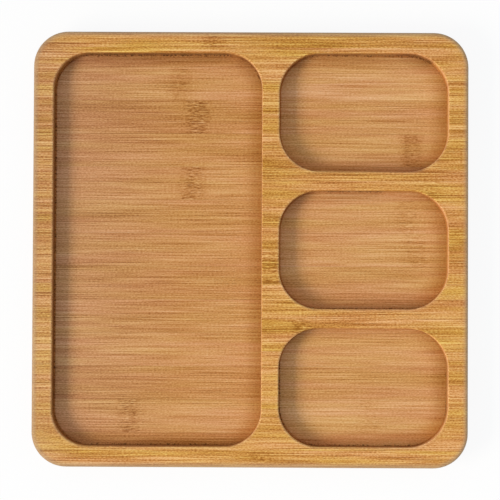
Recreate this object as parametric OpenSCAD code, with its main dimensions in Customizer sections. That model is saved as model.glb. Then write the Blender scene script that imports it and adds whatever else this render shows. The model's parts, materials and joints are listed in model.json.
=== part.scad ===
// Divided compartment plate, glued up from flat bamboo strips in three plies and then milled out.
// The origin is the middle of the underside: +X runs along the grain of the rim, +Y to the back, +Z up.

/* [Plate] */
// Width of the plate, left to right
plate_w = 250; // [220:1:300]
// Depth of the plate, front to back
plate_d = 250; // [220:1:300]
// Radius of the four corners, seen from above
corner_r = 20; // [12:0.5:30]
// Radius that rounds the outer edge, above and below
edge_r = 2; // [1:0.25:3]

/* [Plies] */
// Thickness of the base ply, whose top face is the floor of every compartment
base_t = 5; // [4:0.5:8]
// Thickness of the core ply, whose strips run front to back
core_t = 5; // [4:0.5:8]
// Thickness of the top ply, which is the face of the rim
top_t = 5; // [4:0.5:8]
// Width of a strip of the base ply, and of the core strip under the divider
strip_w = 19.25; // [16:0.25:26]
// Number of core strips between the left edge and the one under the divider
core_left_count = 7; // [5:1:9]
// Number of core strips between the one under the divider and the right edge
core_right_count = 5; // [4:1:7]
// Width of the first strip of the top ply, at the back
top_first_w = 9; // [4:0.25:15]
// Width of the last strip of the top ply, at the front
top_last_w = 10; // [4:0.25:15]
// Number of top strips beside each small compartment, where a seam runs along the middle of every bar
row_strips = 4; // [3:1:5]

/* [Compartments] */
// Width of the rim at the left and at the right
side_rim_w = 11.5; // [8:0.5:18]
// Width of the rim at the back and at the front
end_rim_w = 12; // [8:0.5:18]
// Width of the large compartment
large_w = 120; // [80:1:150]
// Corner radius of the large compartment
large_r = 21; // [8:0.5:36]
// Width of the divider between the large compartment and the small ones
divider_w = 10; // [6:0.5:16]
// Number of small compartments
small_count = 3; // [1:1:4]
// Corner radius of the small compartments
small_r = 23; // [8:0.5:30]
// Width of the bar between two small compartments
bar_w = 11; // [6:0.5:16]
// Radius that eases the upper edge of every compartment
lip_r = 0.8; // [0.4:0.1:1.5]

/* [Hidden] */
$fn = 72;

// How far a cutter runs past the surface that it cuts
overrun = 1;

plate_t = base_t + core_t + top_t;
core_z = base_t;
top_z = core_z + core_t;

back_y = plate_d / 2;
front_y = -plate_d / 2;
left_x = -plate_w / 2;
right_x = plate_w / 2;

compartment_d = plate_d - 2 * end_rim_w;
large_x = left_x + side_rim_w + large_w / 2;
divider_x = left_x + side_rim_w + large_w + divider_w / 2;
small_w = plate_w - 2 * side_rim_w - large_w - divider_w;
small_x = right_x - side_rim_w - small_w / 2;
small_d = (compartment_d - (small_count - 1) * bar_w) / small_count;
small_pitch = small_d + bar_w;

// Each compartment as the X and the Y of its middle, its width, its depth and its corner radius
X = 0;
Y = 1;
WIDTH = 2;
DEPTH = 3;
RADIUS = 4;
compartments = concat(
    [[large_x, 0, large_w, compartment_d, large_r]],
    [for (i = [0 : small_count - 1])
        [small_x, (compartment_d - small_d) / 2 - i * small_pitch, small_w, small_d, small_r]]
);

// A remainder narrower than this share of a strip stays on the strip before it
least_strip_share = 0.1;
base_count = ceil(plate_d / strip_w - least_strip_share);
core_count = core_left_count + 1 + core_right_count;
top_count = small_count * row_strips + 2;

// Edge of a group of core strips, which share the way from the plate's edge to the strip under the divider
core_left_end = divider_x - strip_w / 2;
core_right_end = divider_x + strip_w / 2;

// Seam at the back of a row of top strips, or at the front of the last row
function row_seam(row) =
    row == 0 ? back_y - top_first_w :
    row == small_count ? front_y + top_last_w :
    compartment_d / 2 + bar_w / 2 - row * small_pitch;

// Seam before a strip, counted from the back or from the left
function base_seam(i) = back_y - i * strip_w;
function core_seam(i) =
    i <= core_left_count
        ? left_x + i * (core_left_end - left_x) / core_left_count
        : right_x - (core_count - i) * (right_x - core_right_end) / core_right_count;
function top_seam(i) =
    let (row = min(floor((i - 1) / row_strips), small_count - 1), place = i - 1 - row * row_strips)
    row_seam(row) + place * (row_seam(row + 1) - row_seam(row)) / row_strips;

function strip_name(ply, i) = str(ply, "_strip_", i < 9 ? "0" : "", i + 1);

// A rectangle with round corners, about its middle
module rounded_rectangle(w, d, r) {
    square([w - 2 * r, d], center = true);
    square([w, d - 2 * r], center = true);
    for (x = [-1, 1], y = [-1, 1])
        translate([x * (w / 2 - r), y * (d / 2 - r)]) circle(r);
}

// Sweeps a section round a rectangle with round corners, and fills the middle.
// The section runs from x = 0 to its outer edge at x = $reach.
module swept_rectangle(w, d, r) {
    for (turn = [0, 1]) {
        $reach = (turn == 0 ? w : d) / 2;
        length = (turn == 0 ? d : w) - 2 * r;
        rotate([90, 0, 90 * turn]) translate([0, 0, -length / 2]) linear_extrude(length) {
            children();
            mirror([1, 0]) children();
        }
    }
    for (turn = [0 : 3]) {
        $reach = r;
        x = (turn % 2 == 0 ? w : d) / 2 - r;
        y = (turn % 2 == 0 ? d : w) / 2 - r;
        rotate(90 * turn) translate([x, y, 0]) rotate_extrude(angle = 90) children();
    }
}

// Section of the plate, rounded at the upper and the lower edge
module plate_section() {
    square([$reach - edge_r, plate_t]);
    translate([0, edge_r]) square([$reach, plate_t - 2 * edge_r]);
    for (y = [edge_r, plate_t - edge_r]) translate([$reach - edge_r, y]) circle(edge_r);
}

// Section of a milled compartment, flared where its upper edge is eased
module compartment_section() {
    translate([0, base_t]) square([$reach, plate_t - base_t + overrun]);
    difference() {
        translate([0, plate_t - lip_r]) square([$reach + lip_r, lip_r + overrun]);
        translate([$reach + lip_r, plate_t - lip_r]) circle(lip_r);
    }
}

// The whole plate before its compartments are milled
module plate_form() {
    swept_rectangle(plate_w, plate_d, corner_r) plate_section();
}

// The part of the plate between two seams that run left to right, and between two heights
module lengthwise_strip(back, front, bottom, top) {
    intersection() {
        plate_form();
        translate([left_x - overrun, front, bottom])
            cube([plate_w + 2 * overrun, back - front, top - bottom]);
    }
}

// The compartments that reach between two seams, as the milling cutter leaves them
module milled_compartments(back, front) {
    for (c = compartments)
        if (c[Y] - c[DEPTH] / 2 - lip_r < back && c[Y] + c[DEPTH] / 2 + lip_r > front)
            translate([c[X], c[Y], 0])
                swept_rectangle(c[WIDTH], c[DEPTH], c[RADIUS]) compartment_section();
}

// A strip of the base ply, counted from the back
module base_strip(i) {
    back = i == 0 ? back_y + overrun : base_seam(i);
    front = i == base_count - 1 ? front_y - overrun : base_seam(i + 1);
    color("#C88F58") lengthwise_strip(back, front, -overrun, base_t);
}

// A strip of the core ply, counted from the left, with straight walls only
module core_strip(i) {
    left = i == 0 ? left_x - overrun : core_seam(i);
    right = i == core_count - 1 ? right_x + overrun : core_seam(i + 1);
    color("#B98450") translate([0, 0, core_z]) linear_extrude(core_t) difference() {
        intersection() {
            rounded_rectangle(plate_w, plate_d, corner_r);
            translate([left, front_y - overrun]) square([right - left, plate_d + 2 * overrun]);
        }
        for (c = compartments)
            translate([c[X], c[Y]]) rounded_rectangle(c[WIDTH], c[DEPTH], c[RADIUS]);
    }
}

// A strip of the top ply, counted from the back
module top_strip(i) {
    back = i == 0 ? back_y + overrun : top_seam(i);
    front = i == top_count - 1 ? front_y - overrun : top_seam(i + 1);
    color("#CF9A53") difference() {
        lengthwise_strip(back, front, top_z, plate_t + overrun);
        milled_compartments(back, front);
    }
}

for (i = [0 : base_count - 1])
    base_strip(i);
for (i = [0 : core_count - 1])
    core_strip(i);
for (i = [0 : top_count - 1])
    top_strip(i);
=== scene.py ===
# %% [markdown]
# # A divided plate of laminated bamboo
#
# The plate is glued up from flat bamboo strips in three plies and then milled out with a router. The solids
# of all its strips come from the construction model, so this lesson is about light, and about one material
# that has to look right from every side: bamboo, with its fibres, its knuckles and the scorch marks of the
# cutter.

# %% Load the plate
import json
import math

import bpy
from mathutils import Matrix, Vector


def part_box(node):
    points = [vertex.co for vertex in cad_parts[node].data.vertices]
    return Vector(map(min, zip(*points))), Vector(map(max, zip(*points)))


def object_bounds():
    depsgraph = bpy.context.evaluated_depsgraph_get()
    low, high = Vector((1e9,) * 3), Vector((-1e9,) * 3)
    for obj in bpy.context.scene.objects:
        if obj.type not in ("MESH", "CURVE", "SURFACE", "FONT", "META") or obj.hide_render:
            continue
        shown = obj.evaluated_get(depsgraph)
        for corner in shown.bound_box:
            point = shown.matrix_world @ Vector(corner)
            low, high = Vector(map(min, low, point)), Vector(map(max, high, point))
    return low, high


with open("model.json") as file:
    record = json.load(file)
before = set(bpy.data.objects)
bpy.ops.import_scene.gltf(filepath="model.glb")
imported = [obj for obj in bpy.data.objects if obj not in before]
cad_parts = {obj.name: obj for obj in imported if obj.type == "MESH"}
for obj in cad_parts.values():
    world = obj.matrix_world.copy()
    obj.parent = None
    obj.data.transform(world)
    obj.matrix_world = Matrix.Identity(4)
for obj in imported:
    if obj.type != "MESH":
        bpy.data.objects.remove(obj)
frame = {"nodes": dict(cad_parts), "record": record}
cad_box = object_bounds()
print("strips:", len(frame["nodes"]), "box:", [[round(v, 4) for v in corner] for corner in cad_box])

# %% [markdown]
# ## The camera
#
# The picture is taken from nearly straight above: the outline is almost a square. The walls of the
# compartments show as thin slivers, about two pixels wide at the rim, and that gives the camera's distance
# of 0.9 m. Its place and its small tilts were then solved from the edges of the plate and of the
# compartments.

# %% Camera
# The place is in metres from the middle of the underside, and the focal length in pixels of the picture
camera_place = (0.0039, -0.0165, 0.9031)
camera_tilt_deg = (1.041, 0.258, 0.261)
focal_px = 1550.0
image_px = 500.0
sensor_mm = 36.0

camera_data = bpy.data.cameras.new("camera")
camera_data.sensor_width = sensor_mm
camera_data.lens = sensor_mm * focal_px / image_px
camera = bpy.data.objects.new("camera", camera_data)
camera.location = camera_place
camera.rotation_euler = [math.radians(a) for a in camera_tilt_deg]
bpy.context.scene.collection.objects.link(camera)
bpy.context.scene.camera = camera
bpy.context.scene.view_settings.view_transform = "Standard"
print("lens:", round(camera_data.lens, 1), "mm")

# %% [markdown]
# ## Colour and nodes
#
# Colours are written as sRGB hex values, as a colour picker shows them, and Blender's sockets want linear
# light. One function converts them. A second one adds a node: it sets the node's options and its colour
# stops, and fills its sockets with numbers or with links from other nodes. A third one starts a material.

# %% Helpers
def linear(hex_colour):
    """The linear RGBA of an sRGB hex colour such as C88F58."""
    channels = [int(hex_colour[i:i + 2], 16) / 255 for i in (0, 2, 4)]
    return [c / 12.92 if c <= 0.04045 else ((c + 0.055) / 1.055) ** 2.4 for c in channels] + [1.0]


def add(tree, kind, sockets=None, stops=(), **options):
    """Adds a node. A socket is filled from a node's first live output, from an output, or with a value."""
    node = tree.nodes.new(kind)
    for name, value in options.items():
        setattr(node, name, value)
    # A new colour ramp has two stops already
    for _ in stops[2:]:
        node.color_ramp.elements.new(1.0)
    for element, (place, colour) in zip(node.color_ramp.elements if stops else (), stops):
        element.position = place
        element.color = colour
    live = [socket for socket in node.inputs if socket.enabled]
    for key, source in (sockets or {}).items():
        socket = live[key] if isinstance(key, int) else next(s for s in live if s.name == key)
        if isinstance(source, bpy.types.Node):
            source = next(output for output in source.outputs if output.enabled)
        if isinstance(source, bpy.types.NodeSocket):
            tree.links.new(source, socket)
        else:
            socket.default_value = source
    return node


def empty_material(name):
    """A material with no nodes yet, and its node tree."""
    material = bpy.data.materials.new(name)
    material.use_nodes = True
    material.node_tree.nodes.clear()
    return material, material.node_tree


print("half of full sRGB in linear light:", round(linear("808080")[0], 3))

# %% [markdown]
# ## The sky
#
# A plate like this is shown on white, and the easy way would be a white world. That would also flood the
# hollows with light. So only the rays that show the background see white, and a weaker sky fills the
# shadows. It is a little cool, because wood throws warm light into its own hollows, and the shadows in the
# picture are as neutral as the lit wood.

# %% Sky
white = "FFFFFF"
sky_colour = "E9F2FF"
sky_level = 0.72


def seen_rays(tree):
    """1 for the rays that show the background: from the camera, off a gloss or through a clear body."""
    rays = add(tree, "ShaderNodeLightPath")
    seen = rays.outputs["Is Camera Ray"]
    for kind in ("Is Glossy Ray", "Is Transmission Ray"):
        seen = add(tree, "ShaderNodeMath", {0: seen, 1: rays.outputs[kind]}, operation="MAXIMUM")
    return seen


world = bpy.data.worlds.new("white_sky")
bpy.context.scene.world = world
world.use_nodes = True
tree = world.node_tree
tree.nodes.clear()
fill = add(tree, "ShaderNodeBackground", {"Color": linear(sky_colour), "Strength": sky_level})
backdrop = add(tree, "ShaderNodeBackground", {"Color": linear(white), "Strength": 1.0})
sky = add(tree, "ShaderNodeMixShader", {0: seen_rays(tree), 1: fill, 2: backdrop})
add(tree, "ShaderNodeOutputWorld", {"Surface": sky})
print("sky level:", sky_level)

# %% [markdown]
# ## The soft box
#
# The shadows in the compartments lie along their left walls and, shorter and softer, along their front
# walls, so the main light is a soft box that stands to the left and a little to the front. The shadows of
# the small compartments are a fifth longer than that of the large one, so the box stands near: about 0.6 m
# up and 0.8 m away. A near lamp would light the left of the plate more than the right, which the picture
# does not show, so the lamp faces level across the plate and its light does not weaken with distance.

# %% Soft box
# Places and sizes are in metres
lamp_colour = "FFF2DE"
lamp_level = 9.5
lamp_place = (-0.75, -0.32, 0.62)
lamp_height = 0.4
lamp_width = 0.5
face_right_deg = -90.0

lamp_data = bpy.data.lights.new("soft_box", "AREA")
lamp_data.shape = "RECTANGLE"
lamp_data.size = lamp_height
lamp_data.size_y = lamp_width
lamp_data.energy = lamp_level
lamp_data.use_nodes = True
tree = lamp_data.node_tree
tree.nodes.clear()
even = add(tree, "ShaderNodeLightFalloff", {"Strength": 1.0})
beam = add(tree, "ShaderNodeEmission", {"Color": linear(lamp_colour), "Strength": even.outputs["Constant"]})
add(tree, "ShaderNodeOutputLight", {"Surface": beam})
lamp = bpy.data.objects.new("soft_box", lamp_data)
lamp.location = lamp_place
lamp.rotation_euler = (0.0, math.radians(face_right_deg), 0.0)
lamp.visible_camera = False
bpy.context.scene.collection.objects.link(lamp)
print("soft box:", lamp_place, "m, level", lamp_level)

# %% [markdown]
# ## The floor
#
# The plate lies on a sweep of white paper. The paper glows, to the camera alone, so that it is as white as
# the backdrop, and the tenth of it that does not glow still shows the plate's shadow.

# %% Floor
# White paper: flat and shadowless to the eye but for a faint contact shadow. Sizes are in metres.
floor_size = 6.0
floor_drop = 0.0002
floor_glow = 0.9
paper_colour = "F4F4F2"

bpy.ops.mesh.primitive_plane_add(size=floor_size, location=(0.0, 0.0, -floor_drop))
floor = bpy.context.active_object
floor.name = "floor"
paper, tree = empty_material("white_paper_sweep")
share = add(tree, "ShaderNodeMath", {0: seen_rays(tree), 1: floor_glow}, operation="MULTIPLY")
matt = add(tree, "ShaderNodeBsdfDiffuse", {"Color": linear(paper_colour)})
glow = add(tree, "ShaderNodeEmission", {"Color": linear(white), "Strength": 1.0})
surface = add(tree, "ShaderNodeMixShader", {0: share, 1: matt, 2: glow})
add(tree, "ShaderNodeOutputMaterial", {"Surface": surface})
floor.data.materials.append(paper)
print("floor:", floor_size, "m wide")

# %% [markdown]
# ## The strips of a ply
#
# Every strip is a solid of its own, so the edges of the strips are read from the solids. Object coordinates
# are in metres; they are turned into millimetres first, and every size below is then a real one. The sum of
# one clamped ramp for each strip counts the strips across a ply: its whole part is the strip's number, from
# which each strip draws its own random tone, and its fraction tells how far the nearest seam is. The grain
# is never quite straight, so a slow noise bends the direction across it by a few tenths of a millimetre.

# %% Layout of a ply
# From here on, lengths and places are in millimetres and heights are above the underside
mm_per_m = 1000.0
half_strip = 0.5
wave_length = 35.0
wave_height = 0.35
smooth_detail = 1.0


def strip_edges(ply, axis):
    """The places in mm where a ply's strips begin and end, in the order of their numbers."""
    boxes = [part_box(name) for name in sorted(frame["nodes"]) if name.startswith(ply)]
    ends = [sorted((low[axis] * mm_per_m, high[axis] * mm_per_m)) for low, high in boxes]
    if ends[0][0] > ends[-1][0]:
        ends = [(high, low) for low, high in ends]
    return [ends[0][0]] + [end[1] for end in ends]


def ply_layout(tree, ply, grain):
    """A point's place in mm, whole and along, across and up, with its strip's number and its nearest seam."""
    place = add(tree, "ShaderNodeTexCoord")
    mm = add(tree, "ShaderNodeVectorMath", {0: place.outputs["Object"], 1: (mm_per_m,) * 3},
             operation="MULTIPLY")
    axes = add(tree, "ShaderNodeSeparateXYZ", {0: mm})
    along_axis = "XY".index(grain)
    across_axis = 1 - along_axis
    edges = strip_edges(ply, across_axis)
    count = 0.0
    for start, end in zip(edges, edges[1:]):
        step = add(tree, "ShaderNodeMapRange", {"Value": axes.outputs[across_axis], "From Min": start,
                                                "From Max": end})
        count = add(tree, "ShaderNodeMath", {0: step, 1: count}, operation="ADD")
    number = add(tree, "ShaderNodeMath", {0: count}, operation="FLOOR")
    to_seam = add(tree, "ShaderNodeMath", {0: count, 1: half_strip}, operation="PINGPONG")
    wave = add(tree, "ShaderNodeTexNoise", {"Vector": mm, "Scale": 1.0 / wave_length,
                                            "Detail": smooth_detail})
    wave = add(tree, "ShaderNodeMapRange", {"Value": wave, "To Min": -wave_height, "To Max": wave_height})
    across = add(tree, "ShaderNodeMath", {0: axes.outputs[across_axis], 1: wave}, operation="ADD")
    return {"mm": mm, "along": axes.outputs[along_axis], "across": across, "up": axes.outputs[2],
            "number": number, "to_seam": to_seam, "strips": len(edges) - 1}


for ply, axis in (("base", 1), ("core", 0), ("top", 1)):
    print(ply, "strips begin and end at", [round(edge, 2) for edge in strip_edges(ply, axis)])

# %% [markdown]
# ## Fibres
#
# A bamboo strip is a bundle of long fibres, so its pattern is a solid noise that is stretched along the
# grain. Where a strip is cut across, the same pattern shows as fine dots, as end grain does. Several sizes
# are summed: broad streaks where the cane was denser, middling ones, the fibre bundles themselves, short
# and long, and the specks of cut fibres. Real bundles are about 0.3 mm across. They are drawn half a
# millimetre wide, because a pixel of the picture is wider still.

# %% Fibre noise
# The length and the width of each size of streak
streaks_mm = {"broad": (140.0, 7.0), "middling": (55.0, 2.2), "bundles": (26.0, 0.5),
              "long_bundles": (60.0, 0.5), "specks": (1.3, 0.5)}
fibre_detail = 2.0
fibre_roughness = 0.55
fade_reach = 110.0
noise_middle = 0.5


def fibres(tree, strip, length, width, seed):
    """A solid noise of streaks that are so long and so wide in mm, different in every strip."""
    shift = add(tree, "ShaderNodeMath", {0: strip["number"], 1: seed}, operation="MULTIPLY")
    along = add(tree, "ShaderNodeMath", {0: strip["along"], 1: 1.0 / length, 2: shift},
                operation="MULTIPLY_ADD")
    across = add(tree, "ShaderNodeMath", {0: strip["across"], 1: 1.0 / width}, operation="MULTIPLY")
    up = add(tree, "ShaderNodeMath", {0: strip["up"], 1: 1.0 / width}, operation="MULTIPLY")
    point = add(tree, "ShaderNodeCombineXYZ", {"X": along, "Y": across, "Z": up})
    return add(tree, "ShaderNodeTexNoise", {"Vector": point, "Scale": 1.0, "Detail": fibre_detail,
                                            "Roughness": fibre_roughness})


def fibre_tone(tree, strip, weights, own_weight, fade, seed):
    """The tone of the wood: the streaks and the strip's own tone by their weights, and paler to the right."""
    own = add(tree, "ShaderNodeMath", {0: strip["number"], 1: seed}, operation="ADD")
    own = add(tree, "ShaderNodeTexWhiteNoise", {"W": own}, noise_dimensions="1D").outputs["Value"]
    tone = noise_middle * (1.0 - sum(weights.values()) - own_weight)
    tone = add(tree, "ShaderNodeMath", {0: own, 1: own_weight, 2: tone}, operation="MULTIPLY_ADD")
    for turn, (name, weight) in enumerate(weights.items()):
        noise = fibres(tree, strip, *streaks_mm[name], seed + turn)
        tone = add(tree, "ShaderNodeMath", {0: noise, 1: weight, 2: tone}, operation="MULTIPLY_ADD")
    paler = add(tree, "ShaderNodeMapRange", {"Value": strip["along"], "From Min": -fade_reach,
                                             "From Max": fade_reach, "To Min": -fade, "To Max": fade},
                interpolation_type="SMOOTHSTEP")
    return add(tree, "ShaderNodeMath", {0: tone, 1: paler}, operation="ADD")


print("streaks, length and width in mm:", streaks_mm)

# %% [markdown]
# ## Knuckles
#
# A cane has a knuckle every so often. Where a strip crosses one, the fibres swirl, and fine dashes, dark
# and light, cross the wood in a band about ten millimetres long, which may be darker as a whole. Each could
# be painted by a node group of its own. Here a ramp with constant steps holds one knuckle for each strip,
# its place in red, its dashes in green and its shade in blue, so that one set of nodes draws them all.

# %% Knuckle bands
# A ramp holds values from 0 to 1, so places within the span are stored as a share of it
knuckle_reach = 10.0
knuckle_core = 2.0
knuckle_swirl = 2.5
knuckle_span = 400.0
span_middle = 0.5
knuckle_shade = 0.2
no_knuckle = (span_middle, 0.0, 0.0, 1.0)
dash_mm = (4.0, 0.5)
dash_seed = 5.3
dash_spread = 0.2
dash_contrast = 0.64


def knuckled(tree, strip, tone, knuckles):
    """The tone with its knuckles, each a strip's number, a place along it in mm, its dashes and its shade."""
    steps = [(number / strip["strips"], no_knuckle) for number in range(strip["strips"])]
    for number, place, dashes, shade in knuckles:
        steps[number] = (number / strip["strips"], (place / knuckle_span + span_middle, dashes, shade, 1.0))
    turn = add(tree, "ShaderNodeMath", {0: strip["number"], 1: half_strip}, operation="ADD")
    turn = add(tree, "ShaderNodeMath", {0: turn, 1: strip["strips"]}, operation="DIVIDE")
    ramp = add(tree, "ShaderNodeValToRGB", {"Fac": turn}, stops=steps)
    ramp.color_ramp.interpolation = "CONSTANT"
    place, dashes, shade = add(tree, "ShaderNodeSeparateColor", {0: ramp}).outputs
    place = add(tree, "ShaderNodeMapRange", {"Value": place, "To Min": -knuckle_span / 2.0,
                                             "To Max": knuckle_span / 2.0})
    swirl = add(tree, "ShaderNodeTexNoise", {"Vector": strip["mm"], "Scale": 1.0 / knuckle_reach,
                                             "Detail": smooth_detail})
    swirl = add(tree, "ShaderNodeMapRange", {"Value": swirl, "To Min": -knuckle_swirl,
                                             "To Max": knuckle_swirl})
    bent = add(tree, "ShaderNodeMath", {0: strip["along"], 1: swirl}, operation="ADD")
    gap = add(tree, "ShaderNodeMath", {0: bent, 1: place}, operation="SUBTRACT")
    gap = add(tree, "ShaderNodeMath", {0: gap}, operation="ABSOLUTE")
    band = add(tree, "ShaderNodeMapRange", {"Value": gap, "From Min": knuckle_reach,
                                            "From Max": knuckle_core}, interpolation_type="SMOOTHSTEP")
    dash = fibres(tree, strip, *dash_mm, dash_seed)
    dash = add(tree, "ShaderNodeMapRange", {"Value": dash, "From Min": noise_middle - dash_spread,
                                            "From Max": noise_middle + dash_spread,
                                            "To Min": dash_contrast, "To Max": -dash_contrast}, clamp=False)
    mark = add(tree, "ShaderNodeMath", {0: shade, 1: -knuckle_shade}, operation="MULTIPLY")
    mark = add(tree, "ShaderNodeMath", {0: dashes, 1: dash, 2: mark}, operation="MULTIPLY_ADD")
    return add(tree, "ShaderNodeMath", {0: band, 1: mark, 2: tone}, operation="MULTIPLY_ADD")


print("dashes, length and width in mm:", dash_mm)

# %% [markdown]
# ## Walls of the compartments
#
# Painted shade, painted light and scorch marks follow the walls, so the wood has to know how far the nearest
# wall is and on which side it lies. The record states the space in each compartment by boxes that reach out
# to
# its walls, and they give the outlines: the box that lies across a compartment ends at its left and right
# walls, the one that lies along it ends at its front and back walls, and the corners lie between them.

# %% Outlines
# The boxes stop a clearance short of the walls. The radius of the plate's corners is the part's own.
plate_radius = 20.0
box_clearance = 0.1
opening_boxes = {opening["name"]: opening["box_m"] for opening in frame["record"]["physics"]["openings"]}


def compartment_outline(name):
    """A compartment's middle, size and corner radius in mm, from the boxes that reach out to its walls."""
    across = [[v * mm_per_m for v in corner] for corner in opening_boxes[name + "_across"]]
    along = [[v * mm_per_m for v in corner] for corner in opening_boxes[name + "_along"]]
    low = (across[0][0] - box_clearance, along[0][1] - box_clearance)
    high = (across[1][0] + box_clearance, along[1][1] + box_clearance)
    return {"middle": [(a + b) / 2.0 for a, b in zip(low, high)], "size": [b - a for a, b in zip(low, high)],
            "radius": along[0][0] - across[0][0], "pitch": 0.0}


def walls(outline):
    """The X of an outline's left and right walls, and the Y of its front and back walls."""
    (x, y), (width, depth) = outline["middle"], outline["size"]
    return x - width / 2.0, x + width / 2.0, y - depth / 2.0, y + depth / 2.0


plate_size = [(high - low) * mm_per_m for low, high in zip(*cad_box)]
plate_outline = {"middle": (0.0, 0.0), "size": plate_size, "radius": plate_radius, "pitch": 0.0}
large_outline = compartment_outline("large_compartment")
small_outline = compartment_outline("middle_small_compartment")
back_small_outline = compartment_outline("back_small_compartment")
small_outline["pitch"] = back_small_outline["middle"][1] - small_outline["middle"][1]
large_left, large_right, front_wall, back_wall = walls(large_outline)
small_left, small_right, middle_front, middle_back = walls(small_outline)
core_faces = [corner[2] * mm_per_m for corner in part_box("core_strip_01")]
# The cutter stopped at the lower face of the core, so that is how high the floors lie
floor_up = core_faces[0]
rim_up = cad_box[1][2] * mm_per_m
for title, outline in (("large", large_outline), ("small", small_outline)):
    size = [round(length, 2) for length in outline["size"]]
    print(title, "compartment:", size, "mm, radius", round(outline["radius"], 2))

# %% [markdown]
# ## Distance from the walls
#
# The distance is worked out as for any rectangle with round corners. The small compartments repeat at one
# pitch, so their Y is wrapped onto the middle one. Moving the compartments by a millimetre changes the
# distance by as much where the nearest wall lies that way, and by nothing where it lies across. None of this
# may mark the outer sides or the underside, so it holds only in and by a compartment, from its floor upwards.

# %% Distance from the walls
wall_step = 1.0
beyond_wall = -3.0
by_wall = -2.0
below_floor = floor_up - 1.0
at_floor = floor_up - 0.2


def inside(tree, strip, outline, shift=(0.0, 0.0)):
    """How far inside an outline a point lies, in mm, with the outline moved by a shift in X and Y."""
    axes = add(tree, "ShaderNodeSeparateXYZ", {0: strip["mm"]})
    y = axes.outputs[1]
    if outline["pitch"]:
        half_pitch = outline["pitch"] / 2.0
        y = add(tree, "ShaderNodeMath", {0: y, 1: half_pitch, 2: -half_pitch}, operation="WRAP")
    point = add(tree, "ShaderNodeCombineXYZ", {"X": axes.outputs[0], "Y": y})
    middle = [m + s for m, s in zip(outline["middle"], shift)] + [0.0]
    side = add(tree, "ShaderNodeVectorMath", {0: point, 1: middle}, operation="SUBTRACT")
    side = add(tree, "ShaderNodeVectorMath", {0: side}, operation="ABSOLUTE")
    core = [size / 2.0 - outline["radius"] for size in outline["size"][:2]] + [0.0]
    side = add(tree, "ShaderNodeVectorMath", {0: side, 1: core}, operation="SUBTRACT")
    corner = add(tree, "ShaderNodeVectorMath", {0: side, 1: (0.0, 0.0, 0.0)}, operation="MAXIMUM")
    corner = add(tree, "ShaderNodeVectorMath", {0: corner}, operation="LENGTH")
    split = add(tree, "ShaderNodeSeparateXYZ", {0: side})
    inner = add(tree, "ShaderNodeMath", {0: split.outputs[0], 1: split.outputs[1]}, operation="MAXIMUM")
    inner = add(tree, "ShaderNodeMath", {0: inner, 1: 0.0}, operation="MINIMUM")
    depth = add(tree, "ShaderNodeMath", {0: corner, 1: inner}, operation="ADD")
    return add(tree, "ShaderNodeMath", {0: outline["radius"], 1: depth}, operation="SUBTRACT")


def wall_gap(tree, strip, shift=(0.0, 0.0)):
    """How far a point lies from the wall of its compartment, in mm, or less than 0 outside every one."""
    gaps = [inside(tree, strip, outline, shift) for outline in (large_outline, small_outline)]
    return add(tree, "ShaderNodeMath", {0: gaps[0], 1: gaps[1]}, operation="MAXIMUM")


def nearest_wall(tree, strip):
    """The gap to the nearest wall, and shares from 0 to 1: whether a point is in or by a compartment at all,
    and for each side whether the wall lies there."""
    gap = wall_gap(tree, strip)
    near = add(tree, "ShaderNodeMapRange", {"Value": gap, "From Min": beyond_wall, "From Max": by_wall})
    near = add(tree, "ShaderNodeMapRange", {"Value": strip["up"], "From Min": below_floor,
                                            "From Max": at_floor, "To Max": near})
    wall = {"gap": gap, "near": near}
    for axis_shift, far_side, near_side in (((-wall_step, 0.0), "right", "left"),
                                            ((0.0, -wall_step), "back", "front")):
        moved = wall_gap(tree, strip, axis_shift)
        slope = add(tree, "ShaderNodeMath", {0: gap, 1: moved}, operation="SUBTRACT")
        for side, step in ((far_side, wall_step), (near_side, -wall_step)):
            wall[side] = add(tree, "ShaderNodeMapRange", {"Value": slope, "From Max": step, "To Max": near})
    return wall


print("marks hold from", -beyond_wall, "mm outside the walls and from", round(below_floor, 2), "mm up")

# %% [markdown]
# ## Scorch marks
#
# Where the router dwells, its cutter scorches the wood. The walls are browned, most at their foot,
# strongly along the left and the front walls and faintly along the others: partly as heat browns the sugar
# in the wood, and partly as painted shade: the left and the front walls face away from the lamp, and the
# foot of every wall lies in shade. And the cutter chars the foot of a wall, with a ragged line on the floor
# below, in the places that are listed by their middle, their reach and their strength. The upper half of the
# right walls, which face the lamp, is painted paler, as painted light. Browning multiplies the colour, so
# that it stays warm, and char covers it.

# %% Scorching
# Browning by side: partly scorch, partly painted shade on the walls that face away from the lamp
wall_browning_and_shade = {"left": 1.0, "front": 0.7, "back": 0.35, "right": 0.45}
# Each charred place has its middle and its reach, both in X and Y, and its strength
char_places = {
    "large, back": ((-55.0, back_wall), (52.0, 9.0), 0.85),
    "large, back right corner": ((large_right - 6.5, back_wall - 9.0), (11.0, 14.0), 0.6),
    "large, back left corner": ((large_left + 8.5, back_wall - 8.0), (14.0, 14.0), 0.6),
    "large, left": ((large_left, 0.0), (9.0, 116.0), 0.8),
    "large, front left corner": ((large_left + 8.5, front_wall + 8.0), (14.0, 14.0), 0.6),
    "large, front": ((-53.0, front_wall), (52.0, 8.0), 0.7),
    "back small, back": ((66.0, back_wall), (42.0, 9.0), 0.65),
    "back small, back right corner": ((96.0, back_wall - 1.0), (12.0, 8.0), 0.85),
    "middle small, back": ((60.0, middle_back), (20.0, 6.0), 0.55),
    "middle small, front": ((64.0, middle_front - 1.0), (40.0, 6.0), 0.5),
    "front small, left": ((small_left, -84.0), (9.0, 24.0), 0.9),
    "front small, right": ((small_right - 1.5, -80.0), (8.0, 22.0), 0.4),
    "front small, front": ((64.0, front_wall), (42.0, 8.0), 0.6),
}
char_edge = 0.75
brown_colour = "D9B780"
char_colour = "3F1F06"
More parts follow.
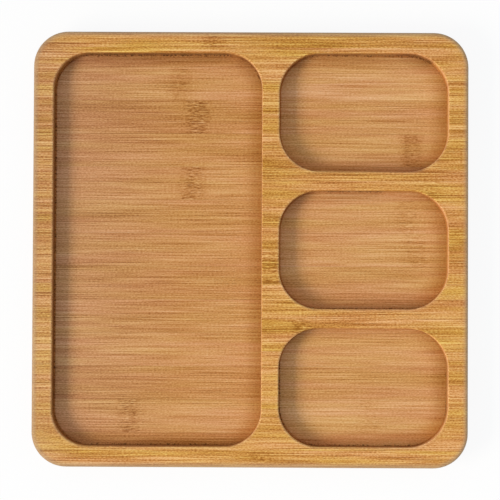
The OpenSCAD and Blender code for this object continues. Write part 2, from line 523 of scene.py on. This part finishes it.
# Painted light: the right walls face the lamp and are painted paler higher up
painted_light_colour = "E2B68E"
painted_light_strength = 0.6
painted_light_foot = rim_up - 6.0
painted_light_top = rim_up - 2.0
brown_top = rim_up + 1.0
brown_foot = floor_up + 3.0
char_top = rim_up + 0.5
char_foot = floor_up + 5.0
burn_mm = 0.9
burn_from = 0.15
burn_to = 0.7
lip_mm = 0.4


def on_sides(tree, wall, levels):
    """One level for each side, where the nearest wall lies on that side."""
    total = 0.0
    for side, level in levels.items():
        total = add(tree, "ShaderNodeMath", {0: wall[side], 1: level, 2: total}, operation="MULTIPLY_ADD")
    return total


def charred_places(tree, strip, wall):
    """How strongly the cutter charred the wood by the nearest wall, from 0 to 1."""
    char = 0.0
    for middle, reach, level in char_places.values():
        away = add(tree, "ShaderNodeVectorMath", {0: strip["mm"], 1: middle + (0.0,)}, operation="SUBTRACT")
        away = add(tree, "ShaderNodeVectorMath", {0: away, 1: [1.0 / r for r in reach] + [0.0]},
                   operation="MULTIPLY")
        away = add(tree, "ShaderNodeVectorMath", {0: away}, operation="LENGTH")
        hot = add(tree, "ShaderNodeMapRange", {"Value": away, "From Min": 1.0, "From Max": char_edge,
                                               "To Max": level})
        char = add(tree, "ShaderNodeMath", {0: hot, 1: char}, operation="MAXIMUM")
    return add(tree, "ShaderNodeMath", {0: char, 1: wall["near"]}, operation="MULTIPLY")


def burn_noise(tree, strip):
    """The noise that mottles the char, the same on a wall as on the floor at its foot."""
    return add(tree, "ShaderNodeTexNoise", {"Vector": strip["mm"], "Scale": 1.0 / burn_mm,
                                            "Detail": smooth_detail})


def scorched(tree, colour, brown, char):
    """The colour browned by one share and charred by another."""
    colour = add(tree, "ShaderNodeMix", {"Factor": brown, "A": colour, "B": linear(brown_colour)},
                 data_type="RGBA", blend_type="MULTIPLY")
    return add(tree, "ShaderNodeMix", {"Factor": char, "A": colour, "B": linear(char_colour)},
               data_type="RGBA")


def milled_wall(tree, strip, colour, wall):
    """The colour with the walls scorched, painted with shade and with light, and a share: 1 on the walls, 0
    elsewhere.
    """
    cut = add(tree, "ShaderNodeMapRange", {"Value": wall["gap"], "From Min": -lip_mm, "From Max": 0.0})
    # Painted light on the upper part of the right walls
    painted_light = add(tree, "ShaderNodeMath", {0: wall["right"], 1: cut}, operation="MULTIPLY")
    painted_light = add(tree, "ShaderNodeMath", {0: painted_light, 1: painted_light_strength}, operation="MULTIPLY")
    painted_light = add(tree, "ShaderNodeMapRange", {"Value": strip["up"], "From Min": painted_light_foot,
                                             "From Max": painted_light_top, "To Max": painted_light})
    colour = add(tree, "ShaderNodeMix", {"Factor": painted_light, "A": colour, "B": linear(painted_light_colour)},
                 data_type="RGBA")
    # Browned most at the foot: partly scorch, partly painted shade
    brown = on_sides(tree, wall, wall_browning_and_shade)
    brown = add(tree, "ShaderNodeMath", {0: brown, 1: cut}, operation="MULTIPLY")
    brown = add(tree, "ShaderNodeMapRange", {"Value": strip["up"], "From Min": brown_top,
                                             "From Max": brown_foot, "To Max": brown})
    char = charred_places(tree, strip, wall)
    char = add(tree, "ShaderNodeMath", {0: char, 1: cut}, operation="MULTIPLY")
    char = add(tree, "ShaderNodeMapRange", {"Value": strip["up"], "From Min": char_top, "From Max": char_foot,
                                            "To Max": char})
    burns = add(tree, "ShaderNodeMapRange", {"Value": burn_noise(tree, strip), "From Min": burn_from,
                                             "From Max": burn_to, "To Max": char})
    return scorched(tree, colour, brown, burns), cut


print("charred places:", "; ".join(char_places))

# %% [markdown]
# ## The bamboo materials
#
# Each ply has its own wood: the top one is golden and strongly streaked, the base ply, whose face is the
# floor of every compartment, is pinker and finer, and the core shows only on the walls and the outer edge.
# What they share comes first: the tone of the fibres, the knuckles, a slow change of tint, and the faint
# glue line at every seam. The finish is a thin oil: it leaves sanded bamboo half matt, and the milled
# walls, which are not sanded, rougher.

# %% Bamboo
tint_mm = (70.0, 7.0)
tint_spread = 0.15
seam_colour = "94632E"
seam_share = 0.015
seam_strength = 0.35
strip_weight = 0.14
pore_roughness = 0.62
fibre_gloss = 0.46
milled_roughness = 0.95
relief_strength = 0.25
relief_m = 0.0002
oil_specular = 0.15


def bamboo(name, ply, grain, tones, tints, weights, knuckle_lists, fade, seed):
    """A ply's bamboo without its surface: the material, its tree, its layout, its tone and its colour."""
    material, tree = empty_material(name)
    strip = ply_layout(tree, ply, grain)
    tone = fibre_tone(tree, strip, weights, strip_weight, fade, seed)
    for knuckles in knuckle_lists:
        tone = knuckled(tree, strip, tone, knuckles)
    stops = [(at, linear(shade)) for at, shade in tones]
    colour = add(tree, "ShaderNodeValToRGB", {"Fac": tone}, stops=stops)
    tint = add(tree, "ShaderNodeMapRange", {"Value": fibres(tree, strip, *tint_mm, seed),
                                            "From Min": noise_middle - tint_spread,
                                            "From Max": noise_middle + tint_spread})
    tint = add(tree, "ShaderNodeMix", {"Factor": tint, "A": linear(tints[0]), "B": linear(tints[1])},
               data_type="RGBA")
    colour = add(tree, "ShaderNodeMix", {"Factor": 1.0, "A": colour, "B": tint}, data_type="RGBA",
                 blend_type="MULTIPLY")
    seam = add(tree, "ShaderNodeMapRange", {"Value": strip["to_seam"], "From Min": seam_share,
                                            "From Max": 0.0, "To Max": seam_strength})
    colour = add(tree, "ShaderNodeMix", {"Factor": seam, "A": colour, "B": linear(seam_colour)},
                 data_type="RGBA")
    return material, tree, strip, tone, colour


def bleached(tree, strip, colour, start, end, saturation, value):
    """The colour with its left end bleached, from one place along the grain in mm to another."""
    share = add(tree, "ShaderNodeMapRange", {"Value": strip["along"], "From Min": start, "From Max": end})
    return add(tree, "ShaderNodeHueSaturation", {"Color": colour, "Fac": share, "Saturation": saturation,
                                                 "Value": value})


def oiled_surface(tree, tone, colour, milled):
    """The finish: half matt where it is sanded, rough where it is milled, with fibres a little proud."""
    rough = add(tree, "ShaderNodeMapRange", {"Value": tone, "To Min": pore_roughness, "To Max": fibre_gloss})
    rough = add(tree, "ShaderNodeMapRange", {"Value": milled, "To Min": rough, "To Max": milled_roughness})
    bump = add(tree, "ShaderNodeBump", {"Height": tone, "Strength": relief_strength, "Distance": relief_m})
    surface = add(tree, "ShaderNodeBsdfPrincipled", {"Base Color": colour, "Roughness": rough, "Normal": bump,
                                                     "Specular IOR Level": oil_specular})
    add(tree, "ShaderNodeOutputMaterial", {"Surface": surface})


print("finish: roughness", fibre_gloss, "to", pore_roughness, "sanded,", milled_roughness, "milled")

# %% [markdown]
# ## The top ply
#
# The rim is the face of the top ply. Its left end has bleached to a duller tone. Its outer edge is round, and
# a line a few millimetres wide there is painted greyer. The lips of the compartments were eased by hand;
# those at the left and the front are painted a little paler, as a painted highlight.

# %% Top ply
# Golden bamboo, sanded and oiled: long streaks, dark and pale, under a half-matt sheen
top_tones = [(0.0, "965E1C"), (0.3, "BB7F38"), (0.5, "CF984F"), (0.7, "DDAC61"), (1.0, "F0C983")]
top_tints = ("FFFFDC", "FFF0FF")
top_weights = {"broad": 0.8, "middling": 0.6, "bundles": 1.2, "long_bundles": 2.1, "specks": 1.6}
top_fade = 0.01
# A knuckle is its strip, counted from 0 at the back, its place along the grain, its dashes and its shade
top_knuckles = [(0, -22.0, 0.8, 0.9), (5, 103.0, 0.6, 0.4), (7, 11.5, 0.7, 0.6), (9, 28.7, 0.8, 0.7),
                (12, -75.0, 0.7, 0.4), (13, 5.7, 0.5, 0.3)]
top_seed = 29.17
top_bleach = {"start": -95.0, "end": -118.0, "saturation": 0.95, "value": 0.95}
# Painted highlight: a pale line on the lips at the left and the front
lip_highlights = {"left": 0.12, "front": 0.15}
lip_highlight_reach = 2.2
lip_highlight_colour = "EBC9A0"
# A line along the outer edge, over its rounding, is painted greyer
grey_edge_mm = 4.0
grey_edge_foot = rim_up - 4.0
grey_edge_top = rim_up - 2.0
grey_edge_strength = 0.75
grey_edge_colour = "AE9272"

top_material, tree, strip, tone, colour = bamboo(
    "golden_bamboo_oiled", "top", "X", top_tones, top_tints, top_weights, [top_knuckles], top_fade, top_seed)
colour = bleached(tree, strip, colour, **top_bleach)
wall = nearest_wall(tree, strip)
# Painted highlight along the lips
lip_highlight_share = add(tree, "ShaderNodeMapRange", {"Value": wall["gap"], "From Min": -lip_highlight_reach, "From Max": 0.0,
                                       "To Max": on_sides(tree, wall, lip_highlights)},
          interpolation_type="SMOOTHSTEP")
colour = add(tree, "ShaderNodeMix", {"Factor": lip_highlight_share, "A": colour, "B": linear(lip_highlight_colour)}, data_type="RGBA")
colour, cut = milled_wall(tree, strip, colour, wall)
# The outer edge painted greyer, from near the top of the rim upwards
sanded = add(tree, "ShaderNodeMapRange", {"Value": strip["up"], "From Min": grey_edge_foot,
                                          "From Max": grey_edge_top, "To Max": grey_edge_strength})
edge = add(tree, "ShaderNodeMapRange", {"Value": inside(tree, strip, plate_outline), "From Min": grey_edge_mm,
                                        "From Max": 0.0, "To Max": sanded}, interpolation_type="SMOOTHSTEP")
colour = add(tree, "ShaderNodeMix", {"Factor": edge, "A": colour, "B": linear(grey_edge_colour)},
             data_type="RGBA")
oiled_surface(tree, tone, colour, cut)
print(top_material.name, "has", len(tree.nodes), "nodes")

# %% [markdown]
# ## The base ply
#
# The face of the base ply is the floor of every compartment. By the right walls, in a wide band, and faintly
# by the front ones, the floor is painted darker and browner, as painted shade where the walls keep light off
# it and throw warm light back onto it. By the back walls it is browner most where the cutter ran hot.

# %% Base ply
# Pinkish bamboo, milled flat, sanded and oiled: fine straight fibres that hardly differ in tone
base_tones = [(0.0, "874F1B"), (0.3, "B57B41"), (0.5, "CB945C"), (0.7, "DAA973"), (1.0, "EDC696")]
base_tints = ("FFFFEC", "FFF5F5")
base_weights = {"broad": 0.28, "middling": 0.2, "bundles": 0.6, "long_bundles": 1.15, "specks": 0.9}
base_fade = 0.075
base_knuckles = [(1, -41.5, 0.25, 0.5), (2, -31.2, 0.75, 0.7), (3, 93.0, 0.4, 1.0), (4, -33.4, 0.6, 0.7),
                 (5, 90.6, 0.3, 0.3), (6, 96.0, 0.3, 0.4), (8, 84.5, 0.2, 0.2), (11, -70.0, 0.55, 0.6)]
# A ramp holds one knuckle for each strip, so the second one of a strip needs a ramp of its own
more_base_knuckles = [(11, 69.5, 0.25, 0.2)]
base_seed = 51.17
base_bleach = {"start": -40.0, "end": -118.0, "saturation": 0.92, "value": 1.0}
# Painted shade: bands by the right and front walls; by the back walls the band follows the scorch
shade_and_scorch_bands = {"right": (12.0, "DED7BB"), "front": (11.0, "FFEAD2"), "back": (9.0, "DED5CA")}
# The line at the foot of the walls: partly scorch, partly painted shade in the corner
line_scorch_and_shade = {"left": 1.0, "front": 0.05, "back": 0.3}

base_material, tree, strip, tone, colour = bamboo(
    "pink_bamboo_oiled", "base", "X", base_tones, base_tints, base_weights,
    [base_knuckles, more_base_knuckles], base_fade, base_seed)
colour = bleached(tree, strip, colour, **base_bleach)
wall = nearest_wall(tree, strip)
brown = on_sides(tree, wall, line_scorch_and_shade)
char = charred_places(tree, strip, wall)
heat = add(tree, "ShaderNodeMath", {0: brown, 1: char}, operation="MAXIMUM")
strengths = {"right": 1.0, "front": 1.0, "back": heat}
for side, (reach, darkening_colour) in shade_and_scorch_bands.items():
    wall_darkening = add(tree, "ShaderNodeMapRange", {"Value": wall["gap"], "From Min": reach, "From Max": 0.0,
                                             "To Max": strengths[side]}, interpolation_type="SMOOTHSTEP")
    wall_darkening = add(tree, "ShaderNodeMath", {0: wall_darkening, 1: wall[side]}, operation="MULTIPLY")
    colour = add(tree, "ShaderNodeMix", {"Factor": wall_darkening, "A": colour, "B": linear(darkening_colour)},
                 data_type="RGBA", blend_type="MULTIPLY")
print("stains by the walls, reach and tint:", shade_and_scorch_bands)

# %% [markdown]
# ## The scorched line on the floor
#
# The tip of the cutter scorches the floor too, in a thin brown line at the foot of the wall; the line is also
# painted shade in the corner between wall and floor. Where the wall is charred, ragged teeth reach out from
# it over the floor. They come from the same noise as the mottling of the wall, and their length from the
# strength of the char, so that they fade where it does.

# %% Scorched line on the floor
line_mm = 0.6
line_soft = 0.6
teeth_reach = 2.0
teeth_from = 0.42
teeth_to = 0.66
teeth_soft = 1.0
teeth_strength = 0.8

off_wall = add(tree, "ShaderNodeMath", {0: wall["gap"]}, operation="ABSOLUTE")
line = add(tree, "ShaderNodeMapRange", {"Value": off_wall, "From Min": line_mm + line_soft,
                                        "From Max": line_mm, "To Max": brown})
teeth = add(tree, "ShaderNodeMapRange", {"Value": burn_noise(tree, strip), "From Min": teeth_from,
                                         "From Max": teeth_to, "To Max": teeth_reach})
teeth = add(tree, "ShaderNodeMath", {0: teeth, 1: char}, operation="MULTIPLY")
teeth = add(tree, "ShaderNodeMath", {0: teeth, 1: off_wall}, operation="SUBTRACT")
teeth = add(tree, "ShaderNodeMapRange", {"Value": teeth, "From Max": teeth_soft, "To Max": teeth_strength})
colour = scorched(tree, colour, line, teeth)
# Char is as rough as a milled wall
oiled_surface(tree, tone, colour, teeth)
print(base_material.name, "has", len(tree.nodes), "nodes")

# %% [markdown]
# ## The core ply
#
# Only the cut sides of the core show, in the walls and round the edge. The cutter has scorched the foot of
# the walls, and a thin dark line of glue lies above and below the ply.

# %% Core ply
# Bamboo cut across its grain: dark dots of end grain at the front and back, streaks at the sides
core_tones = [(0.0, "835326"), (0.3, "AE7943"), (0.5, "C79357"), (0.7, "D6A86E"), (1.0, "EBC898")]
core_weights = {"broad": 0.45, "middling": 0.45, "bundles": 1.2, "specks": 0.65}
core_seed = 11.9
glue_line = 0.25
glue_strength = 0.5

core_material, tree, strip, tone, colour = bamboo(
    "crosswise_bamboo_core", "core", "Y", core_tones, base_tints, core_weights, [], 0.0, core_seed)
colour, cut = milled_wall(tree, strip, colour, nearest_wall(tree, strip))
for face in core_faces:
    glue = add(tree, "ShaderNodeMath", {0: strip["up"], 1: face, 2: glue_line}, operation="COMPARE")
    glue = add(tree, "ShaderNodeMath", {0: glue, 1: glue_strength}, operation="MULTIPLY")
    colour = add(tree, "ShaderNodeMix", {"Factor": glue, "A": colour, "B": linear(seam_colour)},
                 data_type="RGBA")
oiled_surface(tree, tone, colour, cut)
print(core_material.name, "has", len(tree.nodes), "nodes")

# %% [markdown]
# ## Dressing the strips
#
# The strips keep their solids. Each has one slot, and a node's name begins with its ply's, so the name
# tells which bamboo goes there.

# %% Put the bamboo on the strips
ply_materials = {"base": base_material, "core": core_material, "top": top_material}
for node_name, strip_object in frame["nodes"].items():
    for slot in strip_object.material_slots:
        slot.material = ply_materials[node_name.split("_")[0]]
print("strips dressed:", len(frame["nodes"]))
